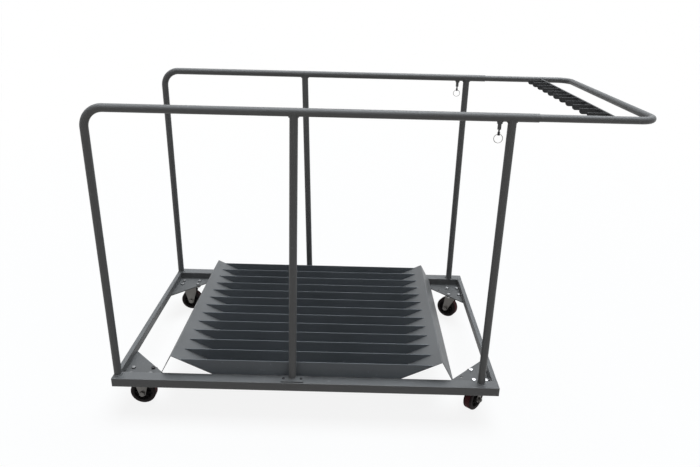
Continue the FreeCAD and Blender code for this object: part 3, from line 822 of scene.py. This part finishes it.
rib_count = 8
rib_half = 0.0015
rib_reach = (0.012, 0.0315)
rib_depth = 0.0125
rib_edge = 0.0006
core_edge = 0.0004
core_steps = 64
core_half = [(0.019, 0.0052), (0.019, 0.0128), (0.0182, 0.0138), (0.006, 0.0148), (0.005, 0.016),
             (0.005, 0.0275), (0.006, 0.029), (0.0148, 0.0303), (0.016, 0.0312), (0.016, 0.0349)]
tread_half = 0.0093
tyre_edge = 0.0002
tyre_steps = 80
tyre_half = [(0.016, 0.03505), (0.016, 0.0395), (0.0157, 0.0413), (0.0149, 0.0431), (0.0135, 0.0443),
             (0.0117, 0.0449), (0.0102, 0.045), (0.0097, 0.0442), (0.009, 0.0442), (0.0085, 0.045)]
wheels = {"left": "rigid", "right": "swivel"}
for side in sides:
    for end, kind in wheels.items():
        wheel = "%s_%s" % (side, kind)
        body = "%s_%s_wheel" % (side, end)
        spin = joints["%s_%s_wheel_spin" % (side, end)]
        centre = Vector(spin["pos_m"])
        axle = Vector(spin["axis"])
        radial = axle.orthogonal().normalized()
        tangent = axle.cross(radial)
        rib = bmesh.new()
        bmesh.ops.create_cube(rib, size=2.0)
        for vert in rib.verts:
            far = rib_reach[vert.co.x > 0]
            vert.co = radial * far + tangent * (vert.co.y * rib_half) + axle * (vert.co.z * rib_depth)
        bmesh.ops.recalc_face_normals(rib, faces=rib.faces)
        rib_plate = soften(from_shape("rib", rib, core_finish), rib_edge)
        ribs = cook("ribs", bpy.data.meshes.new("ribs"), round_set, core_finish, Item=rib_plate,
                    Count=rib_count, Centre=centre, Axle=axle)
        core = bmesh.new()
        turned(core, both_halves(core_half), centre, axle, core_steps, True)
        core_piece = soften(from_shape("moulded_%s_wheel" % wheel, core, core_finish), core_edge)
        fix(core_piece, body, "wheel_core", wheel + "_wheel")
        ribs.name = "moulded_%s_ribs" % wheel
        fix(ribs, body, "wheel_core")
        bpy.data.objects.remove(rib_plate)
        tyre = bmesh.new()
        turned(tyre, both_halves(tyre_half), centre, axle, tyre_steps, True)
        tyre_piece = soften(from_shape("cast_%s_tyre" % wheel, tyre, tread_finish), tyre_edge, 1)
        places = [abs((vert.co - centre).dot(axle)) for vert in tyre_piece.data.vertices]
        marks = tyre_piece.data.attributes.new("shoulder", "FLOAT", "POINT")
        marks.data.foreach_set("value", [float(place > tread_half) for place in places])
        fix(tyre_piece, body, "tread", wheel + "_tyre")

# Caster bolts and nuts: zinc-plated hexagon heads on the gussets, each held by a nut under the
# plate of the caster; the heads carry painted highlight and shade, bright at the front right and
# darker at the other corners.
bright_zinc = plain_finish("bright_zinc", (0.72, 0.73, 0.75), metallic=1.0, roughness=0.25, spread=0.08,
                           grain=600.0, depth=0.00004)
bolt_low, bolt_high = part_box("caster_bolts")
seat_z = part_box("corner_gussets")[1].z
head_tall = bolt_high.z - seat_z
tail = bolt_low.z - seat_z
bolt_flats = 0.013
bolt_corner = 0.00751
bolt_crown = 0.0061
bolt_shank = 0.004
bolt_seat = 0.0062
seat_tall = 0.0004
bevel_tall = 0.0008
tail_tip = 0.0034
tail_bevel = 0.0006
bolt_bevel = ((bevel_tall, bolt_corner), (0.0006, 0.00715), (0.0003, 0.00665), (0.0, bolt_crown))
bolt_profile = [(tail, 0, 0), (tail, tail_tip, 0), (tail + tail_bevel, bolt_shank, 0), (0, bolt_shank, 0),
                (0, bolt_seat, 0), (seat_tall, bolt_seat, 0), (seat_tall, bolt_corner, bolt_flats)]
bolt_profile += [(head_tall - drop, radius, bolt_flats) for drop, radius in bolt_bevel]
bolt_profile.append((head_tall, 0, 0))


def bolt_painted_shade(spot):
    # Painted shade on the heads: none at the front right, duller at the other corners, and one front left
    # head dark all over
    unmarked, dull, dimmed, dark = 0.0, 0.7, 0.85, 1.0
    dark_from_x = -0.76
    dark_from_y = -0.35
    if spot[0] > 0:
        return unmarked if spot[1] < 0 else dull
    return dark if spot[0] > dark_from_x and dark_from_y < spot[1] < 0 else dimmed


bolts = fasteners("plated_bolts", "caster_bolts", bolt_profile, seat_z, False, bright_zinc, seed=11,
                  shade_by_place=bolt_painted_shade)
fix(bolts, "frame", "bolt_zinc", "caster_bolts")
nut_low, nut_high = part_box("caster_nuts")
nut_tall = nut_high.z - nut_low.z
nut_bore = 0.00405
nut_profile = [(0, nut_bore, 0), (0, bolt_crown, bolt_flats), (bevel_tall, bolt_corner, bolt_flats),
               (nut_tall - bevel_tall, bolt_corner, bolt_flats), (nut_tall, bolt_crown, bolt_flats),
               (nut_tall, nut_bore, 0)]
fix(fasteners("plated_nuts", "caster_nuts", nut_profile, nut_low.z, True, bright_zinc, seed=12),
    "frame", "bolt_zinc", "caster_nuts")

# Studio: a wide pale floor that runs out to white, a white surround that mirrors brightest overhead,
# and one broad soft light from there and a little to the right, as under a cloudy sky.


def plainly_seen(wire):
    # 1 for rays from the camera and for reflections, 0 for the light that falls on the trolley
    rays = [wire.node("ShaderNodeLightPath", {}, output=kind)
            for kind in ("Is Camera Ray", "Is Glossy Ray", "Is Transmission Ray")]
    return (rays[0] + rays[1] + rays[2]).band(0.0, 1.0)


floor_shape = bmesh.new()
floor_reach = 60.0
bmesh.ops.create_grid(floor_shape, x_segments=1, y_segments=1, size=floor_reach)
floor_finish, floor_shader, floor_wire = bare_material("pale_floor")
floor_spot = floor_wire.node("ShaderNodeTexCoord", {}, output="Object")
floor_cloud = floor_wire.node("ShaderNodeTexNoise", {"Vector": floor_spot, "Scale": 1.5})
floor_far = floor_wire.node("ShaderNodeVectorMath", {0: floor_spot}, output="Value", operation="LENGTH")
floor_dull = floor_wire.node("ShaderNodeBsdfDiffuse", {"Color": (0.4, 0.355, 0.315, 1.0)})
floor_lit = floor_wire.node("ShaderNodeBsdfDiffuse", {"Color": (0.92, 0.92, 0.92, 1.0)})
floor_glow = floor_wire.node("ShaderNodeEmission", {"Color": (1.0, 1.0, 1.0, 1.0), "Strength": 1.0})
near_glow = 0.87
pale_from = 1.5
pale_to = 5.0
floor_share = near_glow + 0.02 * floor_cloud + 0.12 * floor_far.band(pale_from, pale_to)
floor_pale = floor_wire.node("ShaderNodeMixShader", {0: floor_share, 1: floor_lit, 2: floor_glow})
floor_seen = plainly_seen(floor_wire)
floor_mix = floor_wire.node("ShaderNodeMixShader", {0: floor_seen, 1: floor_dull, 2: floor_pale})
floor_wire.tree.links.new(floor_mix.socket, floor_wire.tree.nodes["Material Output"].inputs["Surface"])
floor_wire.tree.nodes.remove(floor_shader)
from_shape("floor", floor_shape, floor_finish)

world = bpy.data.worlds.new("white_surround")
bpy.context.scene.world = world
world.use_nodes = True
sky = Wire(world.node_tree)
ambient = 0.24
zenith_glow = 4.6
clear = plainly_seen(sky)
background = world.node_tree.nodes["Background"]
sky_tone = clear.blend((0.95, 0.975, 1.0, 1.0), (1.0, 1.0, 1.0, 1.0))
world.node_tree.links.new(sky_tone.socket, background.inputs["Color"])
sky_way = sky.node("ShaderNodeTexCoord", {}, output="Generated")
glow_from = 0.55
glow_to = 0.95
zenith = sky.node("ShaderNodeSeparateXYZ", {"Vector": sky_way}, output="Z").band(glow_from, glow_to)
sky_strength = ambient + clear * (1 - ambient + zenith_glow * zenith)
world.node_tree.links.new(sky_strength.socket, background.inputs["Strength"])

lamp = bpy.data.lights.new("cloudy_sky", "SUN")
lamp.energy = 2.65
lamp.angle = math.radians(42)
lamp.color = (0.89, 0.955, 1.0)
lamp_lean = math.radians(10)
lamp_object = bpy.data.objects.new("cloudy_sky", lamp)
lamp_object.rotation_euler = (-lamp_lean, lamp_lean, 0)
bpy.context.scene.collection.objects.link(lamp_object)

# Camera: at shoulder height in front of the trolley, looking down a little and leaning slightly, with
# the place and the view that straight tubes in the photograph give.
photo_width = 700
focal_pixels = 619.98
eye = Vector((-0.0413, -2.2062, 1.4135))
heading = math.radians(0.166)
tilt = math.radians(-21.818)
lean = math.radians(-1.359)
camera = bpy.data.cameras.new("camera")
camera.sensor_fit = "HORIZONTAL"
camera.lens = camera.sensor_width * focal_pixels / photo_width
aim = Matrix.Rotation(heading, 4, "Z") @ Matrix.Rotation(tilt, 4, "X") @ Matrix.Rotation(lean, 4, "Y")
camera_object = bpy.data.objects.new("camera", camera)
camera_object.matrix_world = Matrix.Translation(eye) @ aim @ Matrix.Rotation(math.pi / 2, 4, "X")
bpy.context.scene.collection.objects.link(camera_object)
bpy.context.scene.camera = camera_object
bpy.context.scene.view_settings.view_transform = "Standard"
